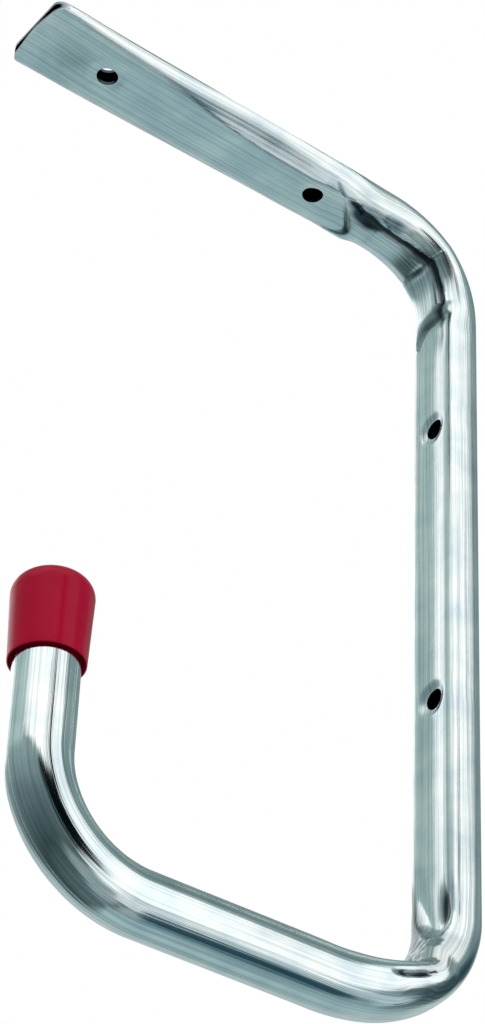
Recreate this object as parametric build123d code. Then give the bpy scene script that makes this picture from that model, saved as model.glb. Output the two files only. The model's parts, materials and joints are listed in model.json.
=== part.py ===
from build123d import *
import os
from math import pi, radians, sin

import numpy as np
from scipy.interpolate import PchipInterpolator

# Ceiling bracket: one bent, pressed and pierced steel tube with a plastic cap on its hook.
# All sizes are in millimetres. +Z is up, the ceiling is the plane Z = 0, the wall is behind the
# part on its +Y side, and X runs across the tube. The origin is midway between the ceiling screws.

# Tube
tube_diameter = 18.0
tube_wall = 1.2
bed_flat = 0.2                # how far the press bed flattens the side that meets wall and ceiling

# Run of the tube, measured along the outer side of its bends
ceiling_reach = 161.0         # wall to the free end of the ceiling arm
upright_height = 287.5        # ceiling to the underside of the bottom arm
hook_reach = 146.5            # wall to the front of the hook's upstand
rim_height = 67.6             # underside of the bottom arm to the rim of the cap
top_bend_radius = 36.5
lower_bend_radius = 34.0      # first part of the lower bend, next to the wall
lower_bend_angle = 56.0       # how far that first part turns
lower_sweep_radius = 61.0     # rest of the lower bend, easing into the bottom arm
hook_bend_radius = 41.5

# Screw holes
hole_diameter = 6.5
ceiling_hole_inset = 59.0     # wall to the nearer ceiling hole
ceiling_hole_pitch = 76.0
wall_hole_drop = 78.5         # ceiling to the upper wall hole
wall_hole_pitch = 98.0
dimple_depth = 0.7            # dimple that the piercing leaves around each hole
dimple_reach = 9.0

# Pressed shape of the tube
end_depth = 7.2               # free end of the ceiling arm
end_width = 27.6
end_dish = 4.4                # nearly closes the tube in the middle of its end
end_corner_radius = 4.0
root_depth = 12.0             # ceiling arm at its nearer hole
root_width = 22.2
root_dish = 1.6
tongue_length = 10.0          # nearer hole to the rounded end of the ceiling arm's press mark
upright_depth = 13.9
upright_width = 20.5
upright_dish = 1.7
press_run_out = 12.0          # length over which the upright's press mark fades at both ends
bend_depth = 14.8             # top bend where it swells, above its crease
bend_lower_depth = 15.3       # and below it
bend_dish = 0.8
bend_crease = 2.2             # depth of the crease and of the two dents beside the bend
dent_reach = 6.0              # length of each dent
scoop_dish = 0.6              # extra dish where the upright's press mark ends in the lower bend
knuckle_depth = 15.0          # lower bend between the press mark and its fold
knuckle_width = 20.6
knuckle_dish = 0.2
lower_crease_depth = 12.0     # where the inside of the lower bend folds
lower_crease_width = 21.6
round_off = 10.0              # straight length beyond the lower bend where the tube is round again

# Cap
cap_length = 27.0
cap_rim_radius = 10.4
cap_top_radius = 11.4
cap_edge_radius = 5.4
cap_crown = 0.9               # rise of the cap's top over its edge
cap_rim_bevel = 0.4
cap_fit = 0.05                # clearance between the cap's bore and the tube
cap_top_wall = 3.2            # from the tube's end to the top of the cap

# Planes and places that follow from the sizes above
wall_y = ceiling_hole_inset + ceiling_hole_pitch / 2
end_y = wall_y - ceiling_reach
bottom_z = -upright_height
front_y = wall_y - hook_reach
rim_z = bottom_z + rim_height
tube_end_z = rim_z + cap_length - cap_top_wall
ceiling_holes_y = (-ceiling_hole_pitch / 2, ceiling_hole_pitch / 2)
wall_holes_z = (-wall_hole_drop, -wall_hole_drop - wall_hole_pitch)

# The lower bend is two arcs in a row, and reaches this far up the wall
first_turn = radians(lower_bend_angle)
lower_bend_rise = lower_bend_radius * sin(first_turn) + lower_sweep_radius * (1 - sin(first_turn))

# The outer side of the tube, drawn in the plane of the bracket from the free end to the cap.
# The legs on ceiling and wall lie a little beyond these planes, which trim them flat later on.
ceiling_leg = Line((end_y, bed_flat), (wall_y + bed_flat - top_bend_radius, bed_flat))
top_bend = JernArc(ceiling_leg @ 1, ceiling_leg % 1, top_bend_radius, -90)
upright_leg = Line(top_bend @ 1, (wall_y + bed_flat, bottom_z + lower_bend_rise))
lower_bend = JernArc(upright_leg @ 1, upright_leg % 1, lower_bend_radius, -lower_bend_angle)
lower_sweep = JernArc(lower_bend @ 1, lower_bend % 1, lower_sweep_radius, lower_bend_angle - 90)
bottom_leg = Line(lower_sweep @ 1, lower_sweep @ 1 - (round_off, 0))
hook_leg = Line(bottom_leg @ 1, (front_y + hook_bend_radius, bottom_z))
hook_bend = JernArc(hook_leg @ 1, hook_leg % 1, hook_bend_radius, -90)
upstand_leg = Line(hook_bend @ 1, (front_y, tube_end_z))


def side_run(*lines):
    """Lines drawn in the plane of the bracket, joined into one run."""
    return Plane.YZ * Wire([edge for line in lines for edge in line.edges()])


pressed_run = side_run(ceiling_leg, top_bend, upright_leg, lower_bend, lower_sweep, bottom_leg)
round_run = side_run(hook_leg, hook_bend, upstand_leg)

# Places along the pressed run, from the free end of the ceiling arm
far_hole, near_hole = (y - end_y for y in ceiling_holes_y)
tongue = near_hole + 0.7 * tongue_length
first_dent = near_hole + tongue_length + dent_reach
top_bend_start = ceiling_leg.length
top_bend_end = top_bend_start + top_bend.length
first_swell = top_bend_start + 0.25 * top_bend.length
top_crease = top_bend_start + 0.5 * top_bend.length
second_swell = top_bend_start + 0.77 * top_bend.length
upright_start = top_bend_end + press_run_out
upright_top = top_bend_end - top_bend_radius + bed_flat
upper_hole, lower_hole = (upright_top - z for z in wall_holes_z)
lower_bend_start = top_bend_end + upright_leg.length
upright_end = lower_bend_start - press_run_out
scoop = lower_bend_start + 0.04 * lower_bend.length
knuckle_start = lower_bend_start + 0.34 * lower_bend.length
knuckle_end = lower_bend_start + 0.66 * lower_bend.length
lower_crease = lower_bend_start + 0.88 * lower_bend.length
sweep_start = lower_bend_start + lower_bend.length
round_start = pressed_run.length


def blend(one, other, share):
    return one + (other - one) * share


# Shapes that the tube takes along the run: depth from the mounting side, width, how square the
# inner and the mounting half are (2 is round), and how deep the inner half is dished
end_shape = np.array([end_depth, end_width, 3.0, 4.0, end_dish])
root_shape = np.array([root_depth, root_width, 3.4, 3.2, root_dish])
upright_shape = np.array([upright_depth, upright_width, 3.8, 2.6, upright_dish])
swell_shape = np.array([bend_depth, upright_width, 3.4, 2.6, bend_dish])
lower_bulge_shape = np.array([bend_lower_depth, upright_width, 3.4, 2.6, bend_dish])
dent_shape = swell_shape + [-bend_crease, 0.6, 0.2, 0, bend_crease / 2]
scoop_shape = upright_shape + [0, 0, 0, 0, scoop_dish]
knuckle_shape = np.array([knuckle_depth, knuckle_width, 3.2, 2.5, knuckle_dish])
crease_shape = np.array([lower_crease_depth, lower_crease_width, 2.8, 2.4, 0])
round_shape = np.array([tube_diameter, tube_diameter, 2, 2, 0])
dimple = np.array([0, 0, 0, 0, dimple_depth])


def arm_shape(place):
    """The ceiling arm widens and flattens evenly from its nearer hole to its free end."""
    return blend(end_shape, root_shape, place / near_hole)


def sweep_mark(share, roundness):
    """Mark beyond the fold of the lower bend, where the tube becomes round again."""
    return blend(sweep_start, round_start, share), blend(crease_shape, round_shape, roundness)


def hole_marks(hole):
    """Marks on the upright around one of its screw holes."""
    ends = [(hole + side * dimple_reach, upright_shape) for side in (-1, 1)]
    return [ends[0], (hole, upright_shape + dimple), ends[1]]


# Longest steps between two sections of the skin
fold_step = 6.0
hole_step = 9.0
bend_step = 12.0
arm_step = 15.0
plain_step = 90.0             # on the upright between its holes, where the shape stays the same

# The skin in stretches. Each has its longest step and a row of marks: a place on the run and the
# tube's shape there. Neighbours share a mark.
arm_ends = [(place, arm_shape(place)) for place in (far_hole + dimple_reach, near_hole - dimple_reach)]
far_marks = [(place, arm_shape(place)) for place in (0, far_hole - dimple_reach)]
far_marks += [(far_hole, arm_shape(far_hole) + dimple), arm_ends[0]]
tongue_marks = [arm_ends[1], (near_hole, root_shape + dimple), (tongue, root_shape + dimple)]
upper_marks, lower_marks = hole_marks(upper_hole), hole_marks(lower_hole)
stretches = [
    (hole_step, far_marks),
    (arm_step, arm_ends),
    (hole_step, [*tongue_marks, (first_dent, dent_shape)]),
    (bend_step, [(first_dent, dent_shape), (first_swell, swell_shape), (top_crease, dent_shape)]),
    (bend_step, [(top_crease, dent_shape), (second_swell, lower_bulge_shape), (top_bend_end, dent_shape)]),
    (fold_step, [(top_bend_end, dent_shape), (upright_start, upright_shape)]),
    (plain_step, [(upright_start, upright_shape), upper_marks[0]]),
    (bend_step, upper_marks),
    (plain_step, [upper_marks[2], lower_marks[0]]),
    (bend_step, lower_marks),
    (plain_step, [lower_marks[2], (upright_end, upright_shape)]),
    (hole_step, [(upright_end, upright_shape), (scoop, scoop_shape), (knuckle_start, knuckle_shape)]),
    (hole_step, [(knuckle_start, knuckle_shape), (knuckle_end, knuckle_shape)]),
    (fold_step, [(knuckle_end, knuckle_shape), (lower_crease, crease_shape), sweep_mark(0.1, 0.3)]),
    (bend_step, [sweep_mark(0.1, 0.3), sweep_mark(0.33, 0.62), sweep_mark(0.6, 0.9), sweep_mark(1, 1)]),
]
ring_points = 16              # points on each section
join_gap = 0.001              # how far the skins of two stretches may miss each other


def outline(shape, inset):
    """Closed outline of the tube, set in from its skin.

    The two halves are superellipses, and a shallow bowl is pressed into the inner half.
    """
    depth, width, inner_square, mount_square, dish = shape
    half_depth = depth / 2 - inset
    half_width = width / 2 - inset
    turn = np.linspace(-pi / 2, 3 * pi / 2, 1441)
    across, inward = np.cos(turn), np.sin(turn)
    power = 2 / np.where(inward < 0, mount_square, inner_square)
    x = half_width * np.sign(across) * np.abs(across) ** power
    y = half_depth * np.sign(inward) * np.abs(inward) ** power
    y -= np.where(inward > 0, dish * (1 - (x / half_width) ** 2) ** 2, 0)
    length = np.concatenate([[0], np.cumsum(np.hypot(np.diff(x), np.diff(y)))])
    even = np.linspace(0, length[-1], ring_points, endpoint=False)
    return list(zip(np.interp(even, length, x), depth / 2 + np.interp(even, length, y)))


def across_run(place):
    """Plane across the tube, with X across the bracket and Y from the mounting side inward."""
    return Plane(
        origin=pressed_run.position_at(place, PositionMode.LENGTH),
        x_dir=(1, 0, 0),
        z_dir=pressed_run.tangent_at(place, PositionMode.LENGTH),
    )


def pressed_section(place, shape):
    """The tube's wall as a ring across the pressed run, between its skin and its bore."""
    skin = make_face(Spline(*outline(shape, 0), periodic=True))
    bore = make_face(Spline(*outline(shape, tube_wall), periodic=True))
    return across_run(place) * (skin - bore)


def pressed_piece(step, marks):
    """One stretch of the tube, lofted through its marks and through even steps between them."""
    places, shapes = zip(*marks)
    shape_at = PchipInterpolator(places, shapes)
    stations = [places[0]]
    for start, stop in zip(places[:-1], places[1:]):
        count = int(np.ceil((stop - start) / step))
        stations.extend(np.linspace(start, stop, count + 1)[1:])
    return loft([pressed_section(place, shape_at(place)) for place in stations])


def hook_tube():
    """The round part of the tube: bottom arm, hook and upstand."""
    radius = tube_diameter / 2
    ring = Pos(0, radius) * (Circle(radius) - Circle(radius - tube_wall))
    return sweep(across_run(round_start) * ring, path=round_run)


def screw_holes():
    drill = Cylinder(hole_diameter / 2, 4 * tube_diameter)
    yield from (Pos(0, y, 0) * drill for y in ceiling_holes_y)
    yield from (Pos(0, wall_y, z) * Rot(X=90) * drill for z in wall_holes_z)


def end_corners():
    """What the shears take off the two corners of the ceiling arm's end."""
    centre_x = end_width / 2 - end_corner_radius
    disc = Cylinder(end_corner_radius, end_width)
    block = Pos(end_width / 2, -end_corner_radius) * Box(end_width, 2 * end_corner_radius, end_width)
    corner = Pos(centre_x, end_y + end_corner_radius) * (block - disc)
    yield corner
    yield mirror(corner, Plane.YZ)


def bracket_tube():
    """The whole tube: pressed skin and round hook, trimmed by ceiling and wall, and pierced."""
    pieces = [pressed_piece(step, marks) for step, marks in stretches]
    first, *others = [piece.solid() for piece in [*pieces, hook_tube()]]
    tube = Part([first.fuse(*others, tol=join_gap)])
    room = 2 * upright_height
    tube -= Pos(0, 0, room / 2) * Box(room, room, room)
    tube -= Pos(0, wall_y + room / 2, 0) * Box(room, room, room)
    tube -= [*screw_holes(), *end_corners()]
    return tube


def tip_cap():
    """Moulded cap, turned about the upstand: skirt, rounded edge and low crown."""
    bore_radius = tube_diameter / 2 + cap_fit
    bore_depth = cap_length - cap_top_wall
    top = (0, cap_length)
    edge = (cap_top_radius, cap_length - cap_crown)
    rim = (cap_rim_radius, 0)
    crown = TangentArc(top, edge, tangent=(1, 0))
    walls = Polyline(edge, rim, (bore_radius, 0), (bore_radius, bore_depth), (0, bore_depth), top)
    half = make_face([*crown.edges(), *walls.edges()])
    half = fillet(half.vertices().sort_by_distance(edge)[0], cap_edge_radius)
    half = chamfer(half.vertices().sort_by_distance(rim)[0], cap_rim_bevel)
    place = Pos(0, front_y + tube_diameter / 2, rim_z)
    return place * revolve(Plane.XZ * half, Axis.Z)


os.makedirs("parts", exist_ok=True)
export_step(bracket_tube(), "parts/bracket_tube.step")
export_step(tip_cap(), "parts/tip_cap.step")
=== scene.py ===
# %% [markdown]
# # A bent tube bracket with a red cap
# The bracket is one length of round steel tube, bent three times and pressed flat where its screws
# go, with a plastic cap on its tip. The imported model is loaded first. It gives the places that
# everything else is measured from, so the pieces made here need no fitting. Its box is kept, to
# compare sizes at the end.

# %% Load the frame
import json
from math import cos, pi, radians, sin

import bmesh
import bpy
import numpy as np
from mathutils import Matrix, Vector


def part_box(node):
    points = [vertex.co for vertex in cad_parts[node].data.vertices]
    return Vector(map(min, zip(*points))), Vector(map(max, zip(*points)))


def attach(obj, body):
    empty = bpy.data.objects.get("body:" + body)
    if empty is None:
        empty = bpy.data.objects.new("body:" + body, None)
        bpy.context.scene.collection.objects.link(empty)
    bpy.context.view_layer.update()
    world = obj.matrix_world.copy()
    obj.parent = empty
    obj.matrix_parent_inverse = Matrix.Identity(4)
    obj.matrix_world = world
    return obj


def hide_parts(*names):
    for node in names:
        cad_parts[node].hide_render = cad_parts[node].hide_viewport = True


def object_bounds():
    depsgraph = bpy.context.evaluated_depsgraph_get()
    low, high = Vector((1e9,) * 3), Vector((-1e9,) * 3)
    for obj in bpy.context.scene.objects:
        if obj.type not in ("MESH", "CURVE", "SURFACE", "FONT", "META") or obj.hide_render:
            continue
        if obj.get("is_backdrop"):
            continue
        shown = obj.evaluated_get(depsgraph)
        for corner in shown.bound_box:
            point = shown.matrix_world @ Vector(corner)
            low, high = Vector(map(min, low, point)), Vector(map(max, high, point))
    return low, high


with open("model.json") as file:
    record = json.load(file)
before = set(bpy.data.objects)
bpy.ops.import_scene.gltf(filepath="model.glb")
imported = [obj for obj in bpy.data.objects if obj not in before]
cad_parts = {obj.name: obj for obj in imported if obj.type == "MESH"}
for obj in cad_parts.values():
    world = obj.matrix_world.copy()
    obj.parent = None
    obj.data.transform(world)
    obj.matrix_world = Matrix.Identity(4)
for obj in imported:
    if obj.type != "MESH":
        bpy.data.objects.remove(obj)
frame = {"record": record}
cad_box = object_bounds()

MM = 0.001
tube_low, tube_high = (np.array(corner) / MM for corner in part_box("bracket_tube"))
cap_low, cap_high = (np.array(corner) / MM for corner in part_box("tip_cap"))
mounts = {mount["name"]: mount for mount in frame["record"]["mounts"]}
print("tube from", tube_low.round(1), "to", tube_high.round(1), "mm")

# %% [markdown]
# ## The line of the tube
# A tube bender makes straight legs and arcs, so the tube's line is a row of them. A curve object with
# a round bevel could follow that line, but it has one section all the way, and this tube's section
# changes. So the line is kept as plain numbers: each leg has a length and a turn, and a leg without a
# turn is straight. It runs along the outer side of the bends, the side that meets ceiling and wall.

# %% Legs and arcs
tube_diameter = 18.0
bed_flat = 0.2  # stands past the planes of ceiling and wall, and is trimmed off flat later
top_radius, lower_radius, sweep_radius, hook_radius = 36.5, 34.0, 61.0, 41.5
lower_turn = radians(56)
cap_end_wall = 3.2  # thickness of the cap's closed end, which rests on the tube

end_y, wall_y, bottom_z = tube_low[1], tube_high[1], tube_low[2]
cap_y = (cap_low[1] + cap_high[1]) / 2
front_y = cap_y - tube_diameter / 2
tube_end_z = cap_high[2] - cap_end_wall
lower_rise = lower_radius * sin(lower_turn) + sweep_radius * (1 - sin(lower_turn))
lower_reach = lower_radius * (1 - cos(lower_turn)) + sweep_radius * cos(lower_turn)

legs = [  # length, turn
    (wall_y + bed_flat - top_radius - end_y, 0),  # ceiling arm
    (top_radius * pi / 2, pi / 2),  # top bend
    (bed_flat - top_radius - bottom_z - lower_rise, 0),  # upright
    (lower_radius * lower_turn, lower_turn),  # lower bend
    (sweep_radius * (pi / 2 - lower_turn), pi / 2 - lower_turn),  # its wider second arc
    (wall_y + bed_flat - lower_reach - front_y - hook_radius, 0),  # bottom arm
    (hook_radius * pi / 2, pi / 2),  # hook
    (tube_end_z - bottom_z - hook_radius, 0),  # upstand
]
leg_ends = np.cumsum([0] + [length for length, turn in legs])
(top_bend_start, upright_start, lower_bend_start, sweep_start,
 bottom_start, hook_start, upstand_start, run_end) = leg_ends[1:]
print("the tube is", round(run_end, 1), "mm long")

# %% [markdown]
# ## Walking along the tube
# Everything on the tube is placed by its distance from the free end, as with a tape laid along it.
# One function turns such a distance into a point and a heading. It goes through the legs in order and
# starts each where the one before it ended.

# %% Walk along the tube
def walk(place):
    """Point (y, z) on the line and heading, for distances from the free end. Heading 0 is +Y."""
    y, z, heading = end_y, bed_flat, 0.0
    out = np.zeros((len(place), 3))
    for (length, turn), start in zip(legs, leg_ends):
        here = place >= start
        along = place[here] - start
        angle = heading + along * turn / length
        if turn:
            radius = length / turn
            out[here, 0] = y + radius * (np.sin(angle) - sin(heading))
            out[here, 1] = z + radius * (np.cos(angle) - cos(heading))
            y += radius * (sin(heading + turn) - sin(heading))
            z += radius * (cos(heading + turn) - cos(heading))
        else:
            out[here, 0] = y + along * cos(heading)
            out[here, 1] = z - along * sin(heading)
            y += length * cos(heading)
            z -= length * sin(heading)
        out[here, 2] = angle
        heading += turn
    return out.T


tip_y, tip_z, _ = walk(np.array([run_end])).ravel()
print("its tip is at y", round(tip_y, 1), "and z", round(tip_z, 1), "mm")

# %% [markdown]
# ## Holes and press marks
# The four screw holes come from the record. The press left two long flat marks, one on the ceiling
# arm and one on the upright. Their ends lie close to a hole or a bend, so their places are set from
# those, and would move with them.

# %% Places along the tube
ceiling_pitch = mounts["ceiling_screws"]["dims"]["spacing_y_mm"]
wall_pitch = mounts["wall_screws"]["dims"]["spacing_y_mm"]
hole_radius = mounts["wall_screws"]["dims"]["hole_r_mm"]
upper_hole_z = mounts["wall_screws"]["pos_m"][2] / MM + wall_pitch / 2
far_hole = -ceiling_pitch / 2 - end_y
near_hole = far_hole + ceiling_pitch
upper_hole = upright_start - top_radius + bed_flat - upper_hole_z
lower_hole = upper_hole + wall_pitch
holes = np.array([far_hole, near_hole, upper_hole, lower_hole])

tongue_end = near_hole + 13  # the arm's mark ends in a tongue
top_crease = (top_bend_start + upright_start) / 2
arch = upright_start + 1  # the upright's mark starts with an arch
point_end = lower_bend_start + 2.4  # and runs out to a point
round_start = bottom_start + 10
print("holes at", holes.round(1), "mm along the tube")

# %% [markdown]
# ## Sections
# The press turns the round tube into anything from a thin dished strip at the free end to a fat oval
# in the bends. Each section could be a drawn profile. Five numbers do as well and are easier to
# blend: depth, width, how square the inner and the outer half are (2 is an ellipse), and how deep the
# inner half is dished.

# %% Sections of the tube
end_shape = np.array([5.2, 27.6, 3.0, 4.0, 2.4])
pierced_shape = np.array([7.4, 26.2, 3.0, 3.8, 1.0])
root_shape = np.array([12.0, 22.2, 2.9, 3.2, 1.6])
tongue_shape = np.array([12.6, 21.6, 2.9, 3.0, 2.6])
brow_shape = np.array([13.0, 21.5, 2.9, 2.9, 1.3])
swell_shape = np.array([14.4, 21.0, 2.6, 2.7, 0.6])
kink_shape = np.array([12.4, 21.4, 2.7, 2.6, 1.2])
bulge_shape = np.array([15.0, 20.5, 2.7, 2.6, 0.6])
arch_shape = np.array([14.5, 20.5, 3.2, 2.6, 0.8])
upright_shape = np.array([13.9, 20.5, 3.8, 2.6, 1.7])
facet_shape = np.array([14.4, 20.6, 3.2, 2.5, 0.2])
fold_shape = np.array([12.0, 21.6, 2.8, 2.4, 0.0])
round_shape = np.array([tube_diameter, tube_diameter, 2, 2, 0])
deeper = np.array([0, 0, 0, 0, 1.0])  # one more millimetre of dish
print("the free end is", end_shape[0], "mm deep and", end_shape[1], "mm wide")

# %% [markdown]
# ## Where each section belongs
# The sections are set at marks along the tube. Two marks close together make a step, as at the end of
# a tongue, and two far apart with the same section make an even stretch, as along the upright.

# %% Marks along the tube
def blend(one, other, share):
    """A share of the way from one value to the other."""
    return one + (other - one) * share


lower_bend = sweep_start - lower_bend_start
marks = [
    (0, end_shape),
    (far_hole, pierced_shape),
    (near_hole, root_shape),
    (near_hole + 6, blend(root_shape, tongue_shape, 0.5)),
    (tongue_end - 1, tongue_shape),
    (tongue_end + 1, brow_shape),
    (tongue_end + 12, swell_shape),
    (top_crease - 2.5, blend(kink_shape, swell_shape, 0.1)),
    (top_crease, kink_shape),
    (top_crease + 2.5, blend(kink_shape, bulge_shape, 0.1)),
    (arch - 4, bulge_shape),
    (arch - 0.8, arch_shape),
    (arch + 0.8, blend(arch_shape, upright_shape + 0.4 * deeper, 0.9)),
    (arch + 14, upright_shape),
    (lower_bend_start - 14, upright_shape),
    (point_end - 1, upright_shape + 0.6 * deeper),
    (point_end + 9, facet_shape),
    (lower_bend_start + 0.66 * lower_bend, facet_shape),
    (lower_bend_start + 0.88 * lower_bend, fold_shape),
    (blend(sweep_start, round_start, 0.1), blend(fold_shape, round_shape, 0.3)),
    (blend(sweep_start, round_start, 0.33), blend(fold_shape, round_shape, 0.62)),
    (blend(sweep_start, round_start, 0.6), blend(fold_shape, round_shape, 0.9)),
    (round_start, round_shape),
    (run_end, round_shape),
]
mark_places = np.array([place for place, shape in marks])
mark_shapes = np.array([shape for place, shape in marks])
print(len(marks), "marks along the tube")

# %% [markdown]
# ## From mark to mark
# Pressed metal flows from one section into the next. Straight blends would show as kinks in the
# reflections, and a common spline swings past its points, which would show as ripples. A monotone
# cubic does neither, so that is what runs through the marks.

# %% Smooth curve through the marks
def smooth_through(places, values, at):
    """A curve through the marks that never swings past them (a monotone cubic)."""
    gap = np.diff(places)[:, None]
    rise = np.diff(values, axis=0) / gap
    slope = np.zeros_like(values)
    product = rise[:-1] * rise[1:]
    rising = product > 0
    slope[1:-1] = np.where(rising, 2 * product / np.where(rising, rise[:-1] + rise[1:], 1), 0)
    i = np.clip(np.searchsorted(places, at, side="right") - 1, 0, len(gap) - 1)
    t = ((at - places[i]) / gap[i, 0])[:, None]
    return (
        values[i] * (1 + 2 * t) * (1 - t) ** 2
        + values[i + 1] * t**2 * (3 - 2 * t)
        + gap[i] * (slope[i] * t * (1 - t) ** 2 - slope[i + 1] * t**2 * (1 - t))
    )


def sections_at(place):
    """The five numbers of the section at each place."""
    return smooth_through(mark_places, mark_shapes, place)


halfway = sections_at(np.array([top_bend_start / 2]))[0, 0]
print("halfway along the arm the tube is", halfway.round(1), "mm deep")

# %% [markdown]
# ## Rings of points
# The tube's skin is a stack of rings. At each station the outline is two half superellipses with a
# bowl pressed into the inner one. Points taken at even turns would crowd at the corners of a flat
# section, so they are spread evenly along the outline instead.

# %% Outline of the tube
ring_points = 128


def outlines(place, inset):
    """Rings around the tube: x across it and d inward from the outer side, one row per place."""
    depth, width, inner, outer, dish = (column[:, None] for column in sections_at(place).T)
    turn = np.linspace(-pi / 2, 3 * pi / 2, 721)[None, :]
    across, inward = np.cos(turn), np.sin(turn)
    half_width = width / 2 - inset
    power = 2 / np.where(inward < 0, outer, inner)
    x = half_width * np.sign(across) * np.abs(across) ** power
    d = (depth / 2 - inset) * np.sign(inward) * np.abs(inward) ** power
    d -= np.where(inward > 0, dish * (1 - (x / half_width) ** 2) ** 2, 0)
    step = np.hypot(np.diff(x), np.diff(d))
    length = np.concatenate([np.zeros((len(place), 1)), np.cumsum(step, axis=1)], axis=1)
    rings = np.zeros((2, len(place), ring_points))
    for row in range(len(place)):
        even = np.linspace(0, length[row, -1], ring_points, endpoint=False)
        rings[0, row] = np.interp(even, length[row], x[row])
        rings[1, row] = np.interp(even, length[row], d[row]) + depth[row] / 2
    return rings


end_ring = outlines(np.array([0.0]), 0)
print("the ring at the free end is", np.ptp(end_ring[0]).round(1), "mm wide")

# %% [markdown]
# ## Rings across the line
# A ring is flat, so it has to be stood across the tube's line. The real tube lay on a flat press bed,
# which left its back flat for the ceiling and the wall. Stopping the points at those two planes gives
# the same flat back, without a cut.

# %% Stand the rings across the line
def stand_across(place, x, d):
    """Turn rings into points in space, trimmed flat by the planes of ceiling and wall."""
    y, z, heading = (column[:, None] for column in walk(place))
    points = np.stack([x, y - d * np.sin(heading), z - d * np.cos(heading)], axis=-1)
    points[..., 1] = np.minimum(points[..., 1], wall_y)
    points[..., 2] = np.minimum(points[..., 2], 0)
    return points


end_points = stand_across(np.array([0.0]), *end_ring)
print("the free end reaches down to z", end_points[..., 2].min().round(1), "mm")

# %% [markdown]
# ## Fading in and out
# No mark on the tube starts at a line. Each one grows out of the plain tube and dies away again, and
# two small functions say how much of it there is at a place. They are used for every mark below.

# %% Fading in and out
def step_up(value, start, stop):
    """0 before start, 1 after stop, and an S curve between."""
    t = np.clip((value - start) / (stop - start), 0, 1)
    return t * t * (3 - 2 * t)


def lasts(value, start, full, fading, gone):
    """1 from full to fading, 0 before start and after gone, and S curves between."""
    return step_up(value, start, full) * (1 - step_up(value, fading, gone))


print("halfway up a step there is", step_up(0.5, 0, 1), "of a mark")

# %% [markdown]
# ## Ends of the press marks
# The press doesn't end square across the tube. The arm's mark ends in a slanted tongue, the upright's
# starts with an arch and runs out to a point. Cutting those outlines into the mesh would leave sharp
# edges. Instead, the inner half of each ring takes its section from a place that is shifted along the
# tube, more or less depending on where the point is across it.

# %% Shift of the press marks
tongue_slant, tongue_curl, tongue_half = 0.8, 5.0, 8.0
arch_drop, arch_half, arch_limit = 6.4, 5.9, 8.0
point_slant, point_bow = 1.75, 0.1


def shifted_place(along, x):
    """The place whose section a point takes, so that the marks end in a tongue, an arch and a point."""
    tongue = tongue_slant * x + tongue_curl * (x / tongue_half) ** 6
    tongue = tongue * lasts(along, near_hole - 18, near_hole, tongue_end + 4, tongue_end + 24)
    arched = np.maximum(-arch_drop * (np.maximum(-x, 0) / arch_half) ** 3, -arch_limit)
    arched = arched * lasts(along, arch - 12, arch - 1, arch + 12, arch + 32)
    pointed = point_bow * x**2 - point_slant * x
    pointed = pointed * lasts(along, point_end - 34, point_end - 16, point_end + 6, point_end + 20)
    return along + tongue + arched + pointed


early = shifted_place(tongue_end, 5.0) - tongue_end
print("5 mm off its middle the tongue ends", round(early, 1), "mm early")

# %% [markdown]
# ## The inner half, drawn again
# The shift is only for the side that the press touched. It dies out towards the flanks of the tube,
# where the two halves meet, so that no seam opens there.

# %% Redraw the inner half
def redraw_inner_half(place, x, d, inset):
    """Inner half of the rings, with the press marks' own ends."""
    own = sections_at(place)
    half_width = own[:, 1:2] / 2 - inset
    t = np.clip(np.abs(x) / half_width, 0, 1)
    along = place[:, None]
    along = along + (shifted_place(along, x) - along) * (1 - t**4)
    depth, _, square, _, dish = sections_at(along.ravel()).T.reshape(5, *x.shape)
    crown = (depth / 2 - inset) * (1 - t**square) ** (1 / square)
    inner = depth / 2 + crown - dish * (1 - t**2) ** 2
    return np.where(d > own[:, 0:1] / 2, inner, d)


tongue_ring = outlines(np.array([tongue_end]), 0)
redrawn = redraw_inner_half(np.array([tongue_end]), *tongue_ring, 0)
print("at the tongue the floor moves by up to", np.abs(redrawn - tongue_ring[1]).max().round(1), "mm")

# %% [markdown]
# ## Dents and the long crease
# Where a thin tube is bent it gives way: it dents, and in the top bend it folds into one long crease.
# Sculpting could make these by hand. As soft bowls at named places, and as a groove along a short path,
# they can be moved and measured.

# %% Dents and the long crease
dents = [  # place along, place across, length, width, depth
    (tongue_end + 5, 3.6, 5.4, 3.2, 1.4),
    (arch - 1, 4.6, 3.0, 1.8, 0.7),
    (arch + 7, 3.5, 6.0, 3.0, 0.4),
    (point_end - 3, 6.0, 7.0, 2.2, 1.3),
    (top_crease + 1, 0.0, 2.0, 6.0, 0.7),
]
crease_path = np.array([  # place along, place across
    (tongue_end, 6.6), (tongue_end + 3, 5.2), (tongue_end + 9, 4.6), (top_crease - 16, 4.2),
    (top_crease - 7, 4.9), (top_crease - 2, 5.8), (top_crease + 2, 6.8), (top_crease + 11, 6.4),
    (arch - 6, 6.8), (arch + 1, 5.3),
])
crease_depth, crease_spread_in, crease_spread_out = 1.3, 1.5, 0.6


def across_at(place, path):
    """Where a path lies across the tube."""
    return np.interp(place, path[:, 0], path[:, 1])[:, None]


def dent_depth(place, x):
    """How deep the dents and the long crease of the top bend are at the ring points."""
    along = place[:, None]
    deep = np.zeros_like(x)
    for dent, middle, length, width, depth in dents:
        deep += depth * np.exp(-(((along - dent) / length) ** 2) - ((x - middle) / width) ** 2)
    off = x - across_at(place, crease_path)
    spread = np.where(off < 0, crease_spread_in, crease_spread_out)
    lasting = lasts(along, tongue_end - 6, tongue_end, arch - 8, arch + 1)
    return deep + crease_depth * lasting * np.exp(-((off / spread) ** 2))


print(len(dents), "dents, and a crease", round(crease_path[-1, 0] - crease_path[0, 0]), "mm long")

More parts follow.
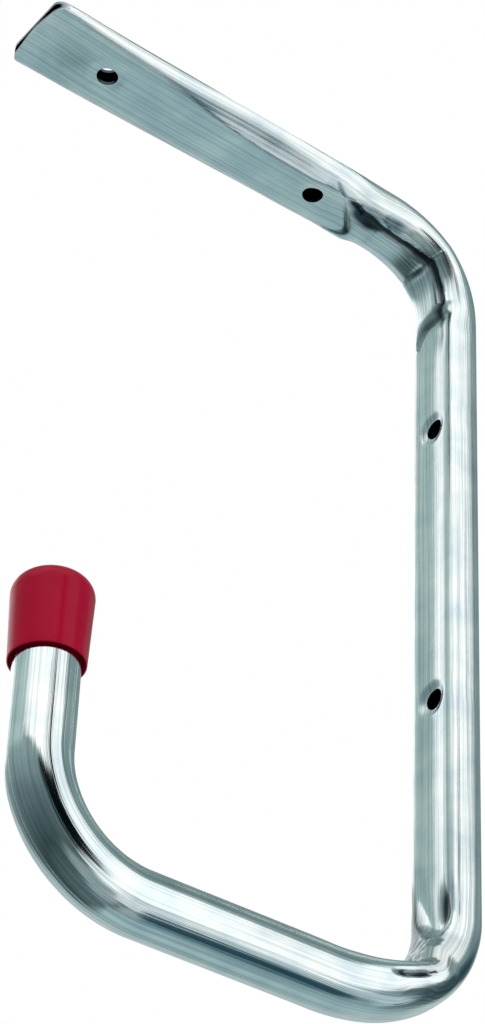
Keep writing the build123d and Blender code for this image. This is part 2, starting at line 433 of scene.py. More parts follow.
# %% [markdown]
# ## Slopes beside the floor
# The press pushed the tube's right flank in. Along the arm that leaves a slope which is widest at the
# near hole and runs out at the far one, and beside the long crease it leaves a lip. Bright metal shows
# such a slope as a white wedge, so its angle matters more than its depth.

# %% Lip and flank
lip_slope, lip_reach, lip_curve = 0.75, 3.2, 30.7
flank_slope, flank_reach, flank_ease = 1.2, 4.8, 0.4
flank_low, flank_high = 0.3, 0.6  # shares of the tube's depth between which the slope grows
floor_edge_path = np.array([  # place along, place across
    (far_hole + 8, 10.6), (far_hole + 20, 9.6), (far_hole + 32, 7.6), (near_hole - 32, 6.4),
    (near_hole - 20, 5.6), (near_hole - 8, 5.5), (near_hole, 6.4), (tongue_end, 6.8),
])


def lip_depth(place, x):
    """How far the lip beside the long crease is pressed to a slope."""
    lasting = lasts(place[:, None], tongue_end + 6, top_crease - 12, arch - 6, arch + 6)
    off = np.clip(x - across_at(place, crease_path), 0, lip_reach)
    return lip_slope * lasting * (off - off**3 / lip_curve)


def flank_depth(place, x, d):
    """How far the right flank of the ceiling arm slopes in, from the edge of the pressed floor."""
    lasting = lasts(place[:, None], far_hole + 4, far_hole + 46, tongue_end - 4, tongue_end + 6)
    off = np.clip(x - across_at(place, floor_edge_path), 0, flank_reach)
    pressed = flank_slope * (off - off**2 / (2 * flank_reach)) * off / (off + flank_ease)
    deepest = d.max(axis=1, keepdims=True)
    return lasting * pressed * step_up(d, flank_low * deepest, flank_high * deepest)


flank_place = np.array([near_hole - 20])
flank_most = flank_depth(flank_place, *outlines(flank_place, 0)).max()
print("20 mm before the near hole the flank is pressed in by", flank_most.round(1), "mm")

# %% [markdown]
# ## The folded lower bend
# The inner side of the lower bend took the sharpest turn. It folded, crinkled, and was pinched to a
# slit on both sides. A displacement texture could stand for the crinkles, but then they would be
# missing from the mesh. A few waves that cross each other do the same in the points themselves.

# %% Fold, crinkles and slit
crinkle_depth = 0.05
slit_height, slit_climb, slit_half, slit_pinch = 7.2, 0.14, 0.8, 1.6


def fold_share(along):
    """1 where the inner side of the lower bend is folded, fading out along the tube."""
    return lasts(along, point_end, point_end + 8, sweep_start, sweep_start + 10)


def crinkles(along, x):
    """Waves that cross each other at odd angles."""
    return np.sin(1.1 * along + 0.9 * x) * np.sin(0.7 * along - 1.3 * x + 1) + np.sin(0.5 * along + 1.9 * x)


def slit_share(place, d):
    """1 in the middle of the slit that the fold of the lower bend leaves on both sides."""
    along = place[:, None]
    middle = slit_height + slit_climb * (along - sweep_start)
    lasting = lasts(along, sweep_start - 1, sweep_start + 5, sweep_start + 10, sweep_start + 17)
    return lasting * np.exp(-(((d - middle) / slit_half) ** 2))


print("the fold is about", round(sweep_start - point_end), "mm long, with a slit", slit_pinch, "mm deep")

# %% [markdown]
# ## All marks together
# Piercing a screw hole draws the metal in around it, so each hole also sits in a shallow dimple, and
# the two swellings of the top bend lean to one side. These and the marks above are depths, so they add
# up, and the sum is pushed into the inner side of the rings. The outer side keeps its shape.

# %% Push the marks in
dimple_depths, dimple_reach, dimple_overlap = (0.3, 0.4, 0.8, 0.8), 6.5, 0.5
lean_before, lean_after, lean_left, lean_right = 0.14, 0.1, -9, 5
inner_low, inner_high = 0.35, 0.7  # shares of the tube's depth between which the inner side starts


def inner_side(d):
    """1 on the inner side of the rings, 0 on the outer side."""
    deepest = d.max(axis=1, keepdims=True)
    return step_up(d, inner_low * deepest, inner_high * deepest)


def push_marks(place, x, d):
    """Push the small forms into the inner side of the rings."""
    along = place[:, None]
    push = dent_depth(place, x) + lip_depth(place, x)
    for hole, deep in zip(holes, dimple_depths):
        from_hole = np.hypot(along - hole, x)
        push += deep * (1 - step_up(from_hole, hole_radius - dimple_overlap, dimple_reach))
    swollen = lasts(along, tongue_end + 4, tongue_end + 10, arch - 6, arch)
    lean = np.where(along < top_crease, lean_before, lean_after)
    push -= swollen * lean * np.clip(x, lean_left, lean_right)
    push += crinkle_depth * fold_share(along) * crinkles(along, x)
    return d - inner_side(d) * push - flank_depth(place, x, d)


crease_ring = outlines(np.array([top_crease]), 0)
pushed = crease_ring[1] - push_marks(np.array([top_crease]), *crease_ring)
print("in the top bend the marks are up to", pushed.max().round(1), "mm deep")

# %% [markdown]
# ## Corners and painted shade
# The free end was sheared off with rounded corners, so the points near them slide back along the arm.
# Shade is painted into what the press and the bends left: dents, folds, the brink of the tongue and the
# slit. It could be painted on an image. Here the marks themselves say how dark each point is painted.

# %% Sheared corners and painted shade
corner_radius, corner_fade = 4.0, 14
# Painted shade in the dents starts at the first depth and is full at the second.
shade_start_depth, shade_full_depth = 0.2, 0.9  # depths in mm
# Shares of painted shade in the fold, more on its left side, and at the brink of the tongue.
fold_shade, fold_shade_left, brink_shade = 0.3, 0.45, 0.8


def shear_corners(place, x):
    """How far the ring points slide back where the free end's corners are rounded off in plan."""
    past = np.clip(np.abs(x) - (end_shape[1] / 2 - corner_radius), 0, corner_radius)
    cut = corner_radius - np.sqrt(corner_radius**2 - past**2)
    return cut * np.clip(1 - place[:, None] / corner_fade, 0, 1)


def painted_shade_share(place, x, d):
    """How much painted shade the ring points get, from 0 to 1."""
    along = shifted_place(place[:, None], x)
    dented = step_up(dent_depth(place, x), shade_start_depth, shade_full_depth)
    folded = fold_share(along) * (fold_shade + fold_shade_left * step_up(-x, 0, 4))
    brink = brink_shade * np.exp(-((along - tongue_end) ** 2)) * step_up(-x, -4, 0)
    return np.maximum(np.maximum(dented, folded), brink) * inner_side(d) + slit_share(place, d)


# The most painted shade at the crease.
crease_shade = painted_shade_share(np.array([top_crease]), *crease_ring)
print("grime at the crease, from 0 to 1:", crease_shade.max().round(2))

# %% [markdown]
# ## Stations
# Rings stand close together where the shape changes and far apart where it doesn't. One fine step all
# along would also work, but most of its triangles would lie on plain tube.

# %% Stations along the tube
plain_step, hole_step, hole_stretch, least_gap = 4.0, 0.6, 7.2, 0.35


def fine_places():
    """Places of the rings, from the free end to the tip."""
    places = [np.arange(0, run_end, plain_step), [run_end]]
    for start, stop, step in (
        (0, 14, 0.7),
        (14, near_hole, 2.0),
        (near_hole, upright_start + 26, 0.6),
        (lower_bend_start - 24, sweep_start + 14, 0.6),
        (sweep_start + 14, round_start, 1.2),
        (hook_start, upstand_start, 1.6),
    ):
        places.append(np.arange(start, stop, step))
    for hole in holes:
        places.append(np.arange(hole - hole_stretch, hole + hole_stretch, hole_step))
    stations = np.unique(np.concatenate(places).round(3))
    keep = np.concatenate([[True], np.diff(stations) > least_gap])
    return stations[keep]


skin_places = fine_places()
bore_places = np.append(skin_places[:-1:6], skin_places[-1])
print(len(skin_places), "stations on the skin and", len(bore_places), "in the bore")

# %% [markdown]
# ## Helpers for meshes
# A mesh in Blender is a list of points and a list of faces. Rings that follow each other are joined by
# quads, and the same helper serves the tube, the hole cutters and the cap.

# %% Mesh helpers
def sleeve_faces(rows, columns, first, flip):
    """Quads between rings that follow each other."""
    row, column = np.meshgrid(np.arange(rows - 1), np.arange(columns), indexing="ij")
    following = (column + 1) % columns
    corners = [row * columns + column, row * columns + following,
               (row + 1) * columns + following, (row + 1) * columns + column]
    quads = np.stack(corners, axis=-1).reshape(-1, 4) + first
    return quads[:, ::-1] if flip else quads


def make_mesh(name, points, faces):
    """A smooth shaded object from points in millimetres."""
    mesh = bpy.data.meshes.new(name)
    mesh.from_pydata((points * MM).tolist(), [], faces.tolist())
    mesh.update()
    piece = bpy.data.objects.new(name, mesh)
    bpy.context.scene.collection.objects.link(piece)
    mesh.polygons.foreach_set("use_smooth", [True] * len(mesh.polygons))
    return piece


print("two rings of 4 points give", len(sleeve_faces(2, 4, 0, False)), "quads")

# %% [markdown]
# ## The tube
# The real tube is hollow and open at its free end, so the mesh has a skin and a bore, with a strip of
# quads between them at both ends. A Solidify modifier could make the bore from the skin, but it folds
# over itself in the tight creases. The bore is made like the skin, a wall's thickness further in.

# %% Build the tube
tube_wall = 1.2


def sleeve(place, inset):
    """Points and painted shade of the skin (inset 0) or the bore, with the press marks in them."""
    x, d = outlines(place, inset)
    d = push_marks(place, x, redraw_inner_half(place, x, d, inset))
    pinched = x - slit_pinch * np.sign(x) * slit_share(place, d)
    points = stand_across(place, pinched, d)
    points[..., 1] += shear_corners(place, x)
    return points.reshape(-1, 3), painted_shade_share(place, x, d).ravel()


skin, skin_shade = sleeve(skin_places, 0)
bore, _ = sleeve(bore_places, tube_wall)
ring = np.arange(ring_points)
following = np.roll(ring, -1)
end_strip = np.stack([ring, ring + len(skin), following + len(skin), following], axis=-1)
to_last = np.array([len(skin), len(bore), len(bore), len(skin)]) - ring_points
faces = np.concatenate([
    sleeve_faces(len(skin_places), ring_points, 0, True),
    sleeve_faces(len(bore_places), ring_points, len(skin), False),
    end_strip[:, ::-1],
    end_strip + to_last,
])
tube = make_mesh("zinc_tube", np.concatenate([skin, bore]), faces)
print("tube mesh with", len(tube.data.polygons), "quads")

# %% [markdown]
# ## Two maps on the surface
# Drawing a tube through its die leaves fine lines along it, and those have to follow its bends. The
# unwrap tools would cut the skin into islands, and the lines would break at their seams. So one UV
# map, "drawn", is written from the rings: the distance around and along the tube in metres, as if the
# skin were rolled out flat. The other holds painted shade, how dark each point is painted. The bore
# is painted dark all over, as shade inside the tube.

# %% Lay out its surface in metres
def write_uv(mesh, name, values):
    """Store a pair of values for each point as a UV map."""
    corners = np.zeros(len(mesh.loops), dtype=np.int32)
    mesh.loops.foreach_get("vertex_index", corners)
    mesh.uv_layers.new(name=name).data.foreach_set("uv", values[corners].ravel().astype(np.float32))


steps_around = np.linalg.norm(np.diff(skin.reshape(-1, ring_points, 3), axis=1), axis=2)
around = np.cumsum(np.concatenate([np.zeros((len(skin_places), 1)), steps_around], axis=1), axis=1)
drawn = np.zeros((len(skin) + len(bore), 2))
drawn[: len(skin), 0] = (around - around.mean(axis=1, keepdims=True)).ravel()
drawn[: len(skin), 1] = np.repeat(skin_places, ring_points)
drawn[len(skin):, 1] = np.repeat(bore_places, ring_points)
painted_shade = np.zeros_like(drawn)
# Painted shade: the bore gets it in full, as shade inside the tube.
painted_shade[:, 0] = np.concatenate([skin_shade, np.ones(len(bore))])
write_uv(tube.data, "drawn", drawn * MM)
write_uv(tube.data, "painted_shade", painted_shade)
print("rolled out, the skin is", np.ptp(drawn[:, 0]).round(1), "by", np.ptp(drawn[:, 1]).round(1), "mm")

# %% [markdown]
# ## Cutters for the screw holes
# The four holes are punched straight through both walls. They could be left out of the rings, but the
# rings don't follow a circle. A round cutter for each does, and all cutters are one mesh, so that one
# modifier can do the work. The cutter has the same two maps, with full painted shade, which paints the
# hole walls dark as shade.

# %% Hole cutters
hole_sides, cutter_reach = 48, 40.0


def cutter_points(centre, axis):
    """Two rings of points, before and behind the tube."""
    turn = np.linspace(0, 2 * pi, hole_sides, endpoint=False)
    side = np.roll(axis, 1)
    up = np.cross(axis, side)
    circle = hole_radius * (np.cos(turn)[:, None] * side + np.sin(turn)[:, None] * up)
    return np.concatenate([centre + circle - cutter_reach * axis, centre + circle + cutter_reach * axis])


def cutter_faces(first):
    """The sides of a cutter and its two ends."""
    near_end = np.arange(first, first + hole_sides)
    sides = sleeve_faces(2, hole_sides, first, False).tolist()
    return sides + [near_end[::-1].tolist(), (near_end + hole_sides).tolist()]


up_axis, back_axis = np.array([0, 0, 1.0]), np.array([0, 1.0, 0])
places_and_axes = [(np.array([0, y, 0.0]), up_axis) for y in (-ceiling_pitch / 2, ceiling_pitch / 2)]
places_and_axes += [(np.array([0, wall_y, z]), back_axis) for z in (upper_hole_z, upper_hole_z - wall_pitch)]
cutter_rings = np.concatenate([cutter_points(centre, axis) for centre, axis in places_and_axes])
cutter_mesh = bpy.data.meshes.new("hole_cutter")
cutter_mesh.from_pydata(
    (cutter_rings * MM).tolist(), [],
    [face for number in range(len(holes)) for face in cutter_faces(2 * hole_sides * number)],
)
write_uv(cutter_mesh, "drawn", np.zeros((len(cutter_rings), 2)))
# Full painted shade on the hole walls.
write_uv(cutter_mesh, "painted_shade", np.tile((1.0, 0.0), (len(cutter_rings), 1)))
print("cutter with", len(cutter_mesh.polygons), "faces for", len(holes), "holes")

# %% [markdown]
# ## Piercing
# A Boolean modifier takes the cutters out of the tube. It is applied at once, so that the finished
# mesh is what gets shaded. Edges sharper than 40 degrees then shade sharp, which is right
# for the punched rims. Last, the tube is tied to its body and takes the place of the plain solid.

# %% Pierce the holes
sharp_angle = radians(40)
cutter = bpy.data.objects.new("hole_cutter", cutter_mesh)
bpy.context.scene.collection.objects.link(cutter)
pierce = tube.modifiers.new("pierce", "BOOLEAN")
pierce.operation = "DIFFERENCE"
pierce.solver = "EXACT"
pierce.object = cutter
bpy.context.view_layer.update()
pierced = bpy.data.meshes.new_from_object(tube.evaluated_get(bpy.context.evaluated_depsgraph_get()))
tube.modifiers.clear()
tube.data = pierced
bpy.data.objects.remove(cutter)
tube.data.set_sharp_from_angle(angle=sharp_angle)
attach(tube, "root")
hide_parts("bracket_tube")
print("pierced tube with", len(tube.data.polygons), "faces")

# %% [markdown]
# ## The cap's profile
# The cap is moulded, and round about the upstand. A cylinder could be scaled and bevelled into its
# shape, but half a section says everything at once: the skirt widens a little towards the top, the
# top edge is well rounded and the crown is low. Inside there is a blind bore, which flares to a groove
# behind the thin lip of the rim.

# %% Profile of the cap
cap_length = cap_high[2] - cap_low[2]
cap_rim, cap_top, cap_edge, cap_crown = 10.4, 11.4, 5.4, 0.9
cap_clearance, cap_corner = 0.05, 0.6
groove_depth, groove_height, groove_top = 0.85, 1.0, 2.2
rim_half, rim_height, skirt_start = 0.22, 0.3, 0.8
edge_start, edge_stop, crown_start = 0.08, 1.42, 0.92  # turns in radians, share of the crown's radius


def cap_profile():
    """Points (radius, height) from the bore's floor round the rim to the middle of the crown."""
    bore_radius, bore_floor = tube_diameter / 2 + cap_clearance, cap_length - cap_end_wall
    inside = [(0, bore_floor), (bore_radius - cap_corner, bore_floor)]
    inside += [(bore_radius, bore_floor - cap_corner)]
    inside += [(bore_radius, height) for height in np.linspace(bore_floor - 1, groove_top, 6)]
    inside += [(bore_radius + groove_depth, groove_height)]
    rim_middle, rim_turn = cap_rim - rim_half, np.linspace(0, pi, 12)
    rim = [(rim_middle - rim_half * cos(a), rim_height - rim_height * sin(a)) for a in rim_turn]
    slope = (cap_top - cap_rim) / (cap_length - cap_crown)
    shoulder = cap_length - cap_crown - cap_edge
    skirt = [(cap_rim + slope * height, height) for height in np.linspace(skirt_start, shoulder, 26)]
    centre = cap_rim + slope * shoulder - cap_edge
    edge_turn = np.linspace(edge_start, edge_stop, 18)
    edge = [(centre + cap_edge * cos(a), shoulder + cap_edge * sin(a)) for a in edge_turn]
    edge_radius, edge_height = edge[-1]
    rise = cap_length - edge_height
    crown = [(edge_radius * t, cap_length - rise * t**2) for t in np.linspace(crown_start, 0, 12)]
    return np.array(inside + rim + skirt + edge + crown)


print("the cap's profile has", len(cap_profile()), "points")

# %% [markdown]
# ## Turning the cap
# The Screw modifier would turn the profile too. Turning the points themselves uses the helper for
# quads again, and the points that meet on the axis are merged, so that the cap is a closed mesh.

# %% Turn the cap
cap_segments, merge_within = 120, 1e-6


def turn_profile(name, profile, foot):
    """A closed mesh from a profile turned around an upright axis."""
    angle = np.linspace(0, 2 * pi, cap_segments, endpoint=False)
    radius, height = profile.T
    points = np.stack([
        foot[0] + radius[:, None] * np.cos(angle),
        foot[1] + radius[:, None] * np.sin(angle),
        foot[2] + np.repeat(height[:, None], cap_segments, axis=1),
    ], axis=-1)
    piece = make_mesh(name, points.reshape(-1, 3), sleeve_faces(len(profile), cap_segments, 0, False))
    turned = bmesh.new()
    turned.from_mesh(piece.data)
    bmesh.ops.remove_doubles(turned, verts=turned.verts, dist=merge_within)
    turned.to_mesh(piece.data)
    turned.free()
    return piece


cap = turn_profile("red_cap", cap_profile(), (0, cap_y, cap_low[2]))
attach(cap, "root")
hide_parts("tip_cap")
print("cap mesh with", len(cap.data.polygons), "faces")

# %% [markdown]
# ## Helpers for materials
# A material is a small graph of nodes. Made by hand in code, each node takes many lines. The helpers
# below add a node, set its values and link its inputs in one line, which keeps every finish short
# enough to read.

# %% Node helpers
def add_node(tree, kind, settings=None, **inputs):
    """Add a node. Inputs are values or sockets, by name, or by number as i0, i1 and so on."""
    node = tree.nodes.new(kind)
    for name, value in (settings or {}).items():
        setattr(node, name, value)
    for name, value in inputs.items():
        numbered = name[0] == "i" and name[1:].isdigit()
        socket = node.inputs[int(name[1:]) if numbered else name.replace("_", " ")]
        if isinstance(value, bpy.types.NodeSocket):
            tree.links.new(value, socket)
        else:
            socket.default_value = value
    return node


def calculate(tree, operation, *values):
    """One step of arithmetic."""
    inputs = {f"i{number}": value for number, value in enumerate(values)}
    return add_node(tree, "ShaderNodeMath", {"operation": operation}, **inputs).outputs[0]


def remap(tree, value, start, stop, first=0.0, last=1.0, curve="LINEAR"):
    """Stretch the values between start and stop so that they run from first to last."""
    return add_node(
        tree, "ShaderNodeMapRange", {"interpolation_type": curve},
        Value=value, From_Min=start, From_Max=stop, To_Min=first, To_Max=last,
    ).outputs[0]


def mix_colours(tree, share, one, other, how="MIX"):
    """Blend two colours."""
    settings = {"data_type": "RGBA", "blend_type": how}
    return add_node(tree, "ShaderNodeMix", settings, i0=share, i6=one, i7=other).outputs[2]


def noise(tree, place, scale, detail):
    """Cloudy values from 0 to 1. The scale is how many clouds there are in a metre."""
    return add_node(tree, "ShaderNodeTexNoise", Vector=place, Scale=scale, Detail=detail).outputs[0]


def new_material(name):
    """A material, its graph and the shader in it."""
    material = bpy.data.materials.new(name)
    material.use_nodes = True
    tree = material.node_tree
    return material, tree, tree.nodes["Principled BSDF"]


# %% [markdown]
# ## Colour of the zinc
# Bright zinc plating is a cool, slightly cloudy metal, and drawn tube has darker lines along it. A
# picture of such metal would repeat or blur. Noise does neither: stretched along the "drawn" map it
# gives the lines, and laid in space it gives the clouds. A near black painted shade covers both where
# the second map says.

# %% Colour of the zinc
# The last colour is the near black of the painted shade.
dull_zinc, bright_zinc, shade_colour = (0.70, 0.79, 0.83, 1), (0.93, 0.96, 0.95, 1), (0.02, 0.035, 0.045, 1)


def drawn_lines(tree, layout, across, along, detail):
    """Noise stretched along the tube. Across and along say how many blots there are in a metre."""
    stretch = add_node(tree, "ShaderNodeMapping", Vector=layout, Scale=(across, along, 1))
    return noise(tree, stretch.outputs[0], 1.0, detail)


def zinc_colour(tree, lines):
    """Cloudy zinc with darker lines, and painted shade over it."""
    place = add_node(tree, "ShaderNodeTexCoord").outputs["Object"]
    patches = remap(tree, noise(tree, place, scale=90.0, detail=5.0), 0.32, 0.66)
    cloudy = mix_colours(tree, patches, dull_zinc, bright_zinc)
    streaks = remap(tree, lines, 0.35, 0.6, first=0.72, last=1.0)
    streaked = mix_colours(tree, 1.0, cloudy, streaks, "MULTIPLY")
    # Painted shade from the second map darkens dents, creases, folds, the slit, the bore and hole walls.
    shade_map = add_node(tree, "ShaderNodeUVMap", {"uv_map": "painted_shade"}).outputs[0]
    shade_value = add_node(tree, "ShaderNodeSeparateXYZ", Vector=shade_map).outputs[0]
    cover = remap(tree, shade_value, 0.0, 1.0, first=0.0, last=0.95)
    return mix_colours(tree, cover, streaked, shade_colour)


print("zinc from", dull_zinc[:3], "to", bright_zinc[:3])

# %% [markdown]
# ## Gloss and lines of the zinc
# The bottom arm and the hook keep the gloss of drawn tube, and the pressed stretch is a little duller.
# The lines are also felt, so they go into the roughness and, as bump, into the relief. They are far
# too fine for the mesh, and bump is the right place for them.

# %% Plate the tube
dull_until, gloss_from, pressed_roughness = 0.38, 0.46, 0.12  # metres along the tube, added roughness
groove_relief, hair_relief = 0.00008, 0.000012


def zinc_roughness(tree, layout, lines):
    """Roughness that follows the lines, higher where the tube was pressed."""
    along = add_node(tree, "ShaderNodeSeparateXYZ", Vector=layout).outputs[1]
    pressed = remap(tree, along, dull_until, gloss_from, first=pressed_roughness, last=0.0)
    drawn_face = remap(tree, lines, 0.3, 0.7, first=0.05, last=0.15)
    return calculate(tree, "ADD", drawn_face, pressed)


def zinc_steel():
    """Zinc plate with the lines of drawn tube in its colour, its gloss and its relief."""
    material, tree, shader = new_material("zinc_steel")
    layout = add_node(tree, "ShaderNodeUVMap", {"uv_map": "drawn"}).outputs[0]
    fine = drawn_lines(tree, layout, across=2600, along=18, detail=4.0)
    broad = drawn_lines(tree, layout, across=1300, along=11, detail=3.0)
    groove = add_node(tree, "ShaderNodeBump", Height=broad, Strength=1.0, Distance=groove_relief).outputs[0]
    hair = add_node(tree, "ShaderNodeBump", Height=fine, Strength=1.0, Distance=hair_relief, Normal=groove)
    tree.links.new(zinc_colour(tree, broad), shader.inputs["Base Color"])
    tree.links.new(zinc_roughness(tree, layout, fine), shader.inputs["Roughness"])
    tree.links.new(hair.outputs[0], shader.inputs["Normal"])
    shader.inputs["Metallic"].default_value = 1.0
    return material


tube.data.materials.clear()
tube.data.materials.append(zinc_steel())
print("plated the tube with", tube.data.materials[0].name)

# %% [markdown]
# ## The red plastic
# The cap is soft moulded plastic, deep red, with a satin face. A coat layer would make it shine like
# paint, so it only has a plain, weak gloss. Its red varies slightly, and a very fine grain breaks up
# the reflections, as the skin of a moulding does.

# %% Colour the cap
dark_red, light_red = (0.50, 0.0, 0.026, 1), (0.60, 0.001, 0.045, 1)
red_roughness, red_gloss = 0.22, 0.12
grain_scale, grain_strength, grain_relief = 2500.0, 0.06, 0.0002


def red_plastic():
    """Deep red moulded plastic with a satin face."""
    material, tree, shader = new_material("red_plastic")
    place = add_node(tree, "ShaderNodeTexCoord").outputs["Object"]
    tint = mix_colours(tree, noise(tree, place, scale=120.0, detail=4.0), dark_red, light_red)
    grain = noise(tree, place, scale=grain_scale, detail=3.0)
    bump = add_node(tree, "ShaderNodeBump", Height=grain, Strength=grain_strength, Distance=grain_relief)
    tree.links.new(tint, shader.inputs["Base Color"])
    tree.links.new(bump.outputs[0], shader.inputs["Normal"])
    shader.inputs["Roughness"].default_value = red_roughness
    shader.inputs["Specular IOR Level"].default_value = red_gloss
    return material


cap.data.materials.clear()
cap.data.materials.append(red_plastic())
print("coloured the cap with", cap.data.materials[0].name)

# %% [markdown]
# ## The studio's dome
# Bright metal shows the room around it more than itself, so the room is what gets designed. Lamps
# would give small hot spots, and the stripes in a picture of a real studio couldn't be moved one by
# one. A dome of plain colours all around gives broad, soft stripes, and each can be moved. Bare, it is
# a cool grey that is darkest well below the horizon.

# %% Bare dome
dome_levels = [  # degrees above the horizon, colour
    (-90, (0.13, 0.20, 0.21)),
    (-66, (0.09, 0.14, 0.15)),
    (-38, (0.045, 0.075, 0.075)),
    (0, (0.14, 0.20, 0.21)),
    (20, (0.24, 0.34, 0.35)),
    (60, (0.24, 0.35, 0.36)),
]


def bare_dome(tree, height):
    """Colour of the bare dome at a height, in degrees above the horizon."""
    ramp = add_node(tree, "ShaderNodeValToRGB", Fac=remap(tree, height, -90.0, 90.0))
    stops = ramp.color_ramp.elements
    while len(stops) < len(dome_levels):
        stops.new(0.5)
    for stop, (degrees_up, colour) in zip(stops, dome_levels):
        stop.position = (degrees_up + 90) / 180
        stop.color = (*colour, 1)
    return ramp.outputs[0]


print("dome with", len(dome_levels), "levels")

# %% [markdown]
# ## Soft panels
# A photographer stands white and black cards around shiny things, and each card becomes a stripe in
# the metal. Here a card is a patch of the dome between two bearings and two heights, with a soft edge.
# Some cards lean or tilt, so that their stripes follow a bend of the tube.

# %% Panels on the dome
def near(tree, angle, centre, half, soft):
    """1 where an angle is within half of a centre, fading to 0 over the soft width at its edge."""
    off = calculate(tree, "WRAP", calculate(tree, "SUBTRACT", angle, centre), 180.0, -180.0)
    size = calculate(tree, "ABSOLUTE", off)
    start, stop = half - soft / 2, half + soft / 2
    return remap(tree, size, start, stop, first=1.0, last=0.0, curve="SMOOTHSTEP")


def leaning(tree, angle, other, middle, lean):
    """An angle that shifts by lean for each degree that the other angle is from its middle."""
    return calculate(tree, "MULTIPLY_ADD", calculate(tree, "SUBTRACT", other, middle), lean, angle)


def add_panel(tree, under, bearing, height, panel):
    """Lay a soft panel over the colour below it. Bearing 0 is the front, 90 is +X."""
    (left, right), (low, high) = panel["sides"], panel["ends"]
    across, up = (left + right) / 2, (low + high) / 2
    if "lean" in panel:
        bearing = leaning(tree, bearing, height, up, panel["lean"])
    if "tilt" in panel:
        height = leaning(tree, height, bearing, across, panel["tilt"])
    wide = near(tree, bearing, across, (right - left) / 2, panel["soft"])
    tall = near(tree, height, up, (high - low) / 2, panel["soft"])
    return mix_colours(tree, calculate(tree, "MULTIPLY", wide, tall), under, (*panel["colour"], 1))


# %% [markdown]
# ## Which cards stand where
# White cards stand above, to the left and to the right, and a black one between them, which gives the
# dark stripe down the upright. The low cards light what faces the ground. Each was moved until its
# stripe lay where the photograph has one. A later card in the list hides the ones before it.

# %% List of panels
white, black, navy = (1.22, 1.26, 1.25), (0.001, 0.004, 0.006), (0.025, 0.075, 0.105)
panels = [  # bearings and heights in degrees
    dict(name="back end", sides=(126, 232), ends=(24, 70), soft=10, colour=(0.22, 0.31, 0.31)),
    dict(name="back shade", sides=(148, 206), ends=(-38, 22), soft=14, colour=(0.04, 0.08, 0.09)),
    dict(name="back low", sides=(160, 260), ends=(-76, -34), soft=14, colour=(0.24, 0.37, 0.41)),
    dict(name="left low", sides=(-165, -92), ends=(-84, -20), soft=22, colour=(0.36, 0.51, 0.53)),
    dict(name="left card", sides=(-152, -74), ends=(-26, 26), soft=18, colour=(0.50, 0.60, 0.60)),
    dict(name="left wash", sides=(-70, 0), ends=(27, 60), soft=10, colour=(0.42, 0.55, 0.53)),
    dict(name="left strip", sides=(-129, -60), ends=(25, 46), soft=6, colour=white),
    dict(name="top card", sides=(-18, 130), ends=(24, 80), soft=6, tilt=0.2, colour=white),
    dict(name="front low", sides=(44, 104), ends=(-78, -34), soft=14, colour=(0.34, 0.43, 0.44)),
    dict(name="black card", sides=(64, 104), ends=(-22, 21), soft=5, lean=0.75, colour=black),
    dict(name="corner card", sides=(80, 110), ends=(-40, -18), soft=7, lean=0.4, colour=white),
    dict(name="right low", sides=(108, 150), ends=(-46, -20), soft=14, colour=(0.20, 0.30, 0.34)),
    dict(name="back strip", sides=(124, 184), ends=(-41, -27), soft=8, colour=(0.55, 0.67, 0.69)),
    dict(name="right glow", sides=(98, 127), ends=(-60, -28), soft=10, colour=(0.85, 0.92, 0.93)),
    dict(name="right card", sides=(97, 132), ends=(-26, 60), soft=10, colour=white),
    dict(name="low glow", sides=(118, 158), ends=(-80, -61), soft=8, colour=(0.40, 0.50, 0.51)),
    dict(name="low shade", sides=(127, 164), ends=(-60, -47), soft=8, tilt=0.12, colour=navy),
    dict(name="black edge", sides=(83, 95), ends=(18, 36), soft=4, colour=black),
]
print("panels:", ", ".join(panel["name"] for panel in panels))

# %% [markdown]
# ## The world
# The dome and its panels are the world of the scene, which lights it from all sides at once. The
# camera itself sees plain white behind the bracket, so rays from the camera get white, and all others
# get the studio.

# %% Studio world
def bearing_and_height(tree):
    """The two angles of a direction, in degrees. Bearing 0 is the front, 90 is +X."""
    direction = add_node(tree, "ShaderNodeTexCoord").outputs["Generated"]
    x, y, z = add_node(tree, "ShaderNodeSeparateXYZ", Vector=direction).outputs
    bearing = calculate(tree, "ARCTAN2", x, calculate(tree, "MULTIPLY", y, -1.0))
    return calculate(tree, "DEGREES", bearing), calculate(tree, "DEGREES", calculate(tree, "ARCSINE", z))


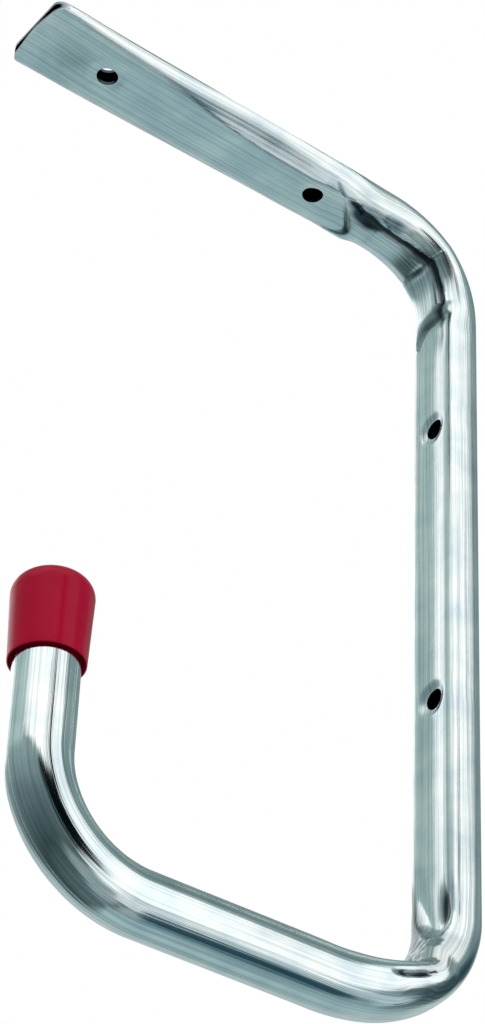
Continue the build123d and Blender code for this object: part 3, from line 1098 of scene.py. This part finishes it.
def studio_world():
    """The dome with its panels for the light, and plain white for the camera."""
    world = bpy.data.worlds.new("studio")
    world.use_nodes = True
    tree = world.node_tree
    tree.nodes.clear()
    bearing, height = bearing_and_height(tree)
    colour = bare_dome(tree, height)
    for panel in panels:
        colour = add_panel(tree, colour, bearing, height, panel)
    studio = add_node(tree, "ShaderNodeBackground", Color=colour).outputs[0]
    backdrop = add_node(tree, "ShaderNodeBackground", Color=(1, 1, 1, 1)).outputs[0]
    seen = add_node(tree, "ShaderNodeLightPath").outputs["Is Camera Ray"]
    both = add_node(tree, "ShaderNodeMixShader", i0=seen, i1=studio, i2=backdrop)
    add_node(tree, "ShaderNodeOutputWorld", Surface=both.outputs[0])
    return world


bpy.context.scene.world = studio_world()
bpy.context.scene.view_settings.view_transform = "Standard"
print("world with", len(bpy.context.scene.world.node_tree.nodes), "nodes")

# %% [markdown]
# ## The floor
# The bracket hangs from a ceiling, so the floor is a plain pale plane far below it. It would hide the
# low panels in the metal, which make the stripes on the underside of the tube, so it is left out of
# the reflections.

# %% Floor
floor_z, floor_reach, floor_grey = -1500.0, 30000.0, 0.9
floor_corners = np.array([(x, y, floor_z) for x, y in ((-1, -1), (1, -1), (1, 1), (-1, 1))])
floor_corners[:, :2] *= floor_reach
floor = make_mesh("floor", floor_corners, np.array([[0, 1, 2, 3]]))
pale, _, pale_shader = new_material("pale_floor")
pale_shader.inputs["Base Color"].default_value = (floor_grey, floor_grey, floor_grey, 1)
floor.data.materials.append(pale)
floor.visible_glossy = False
floor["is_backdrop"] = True
print("floor at z", floor_z, "mm")

# %% [markdown]
# ## The camera
# The bracket is seen from the front, from the right and from below. The place, the turn and the lens
# could be set by eye, but they were fitted to the photograph, because every stripe in the metal
# depends on them. The camera's clipping distance is set far enough out for the large floor.

# %% Camera
camera_data = bpy.data.cameras.new("camera")
camera_data.sensor_width = 36.0
camera_data.lens = 112.95
camera_data.clip_end = 100
camera = bpy.data.objects.new("camera", camera_data)
camera.location = (0.5860, -0.3779, -0.6899)
camera.rotation_euler = [radians(angle) for angle in (127.773, -2.12, 54.342)]
bpy.context.scene.collection.objects.link(camera)
bpy.context.scene.camera = camera
print("camera", round(camera.location.length, 2), "m from the middle of the ceiling holes")

# %% [markdown]
# ## Sizes
# The finished pieces have to be as large as the imported model, because both stand for one object. Both
# boxes are written down, so that they can be compared.

# %% Sizes
visual_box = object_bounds()
for name, box in (("packed model", cad_box), ("finished pieces", visual_box)):
    print(name, "from", *(np.round(np.array(corner) / MM, 1) for corner in box), "mm")
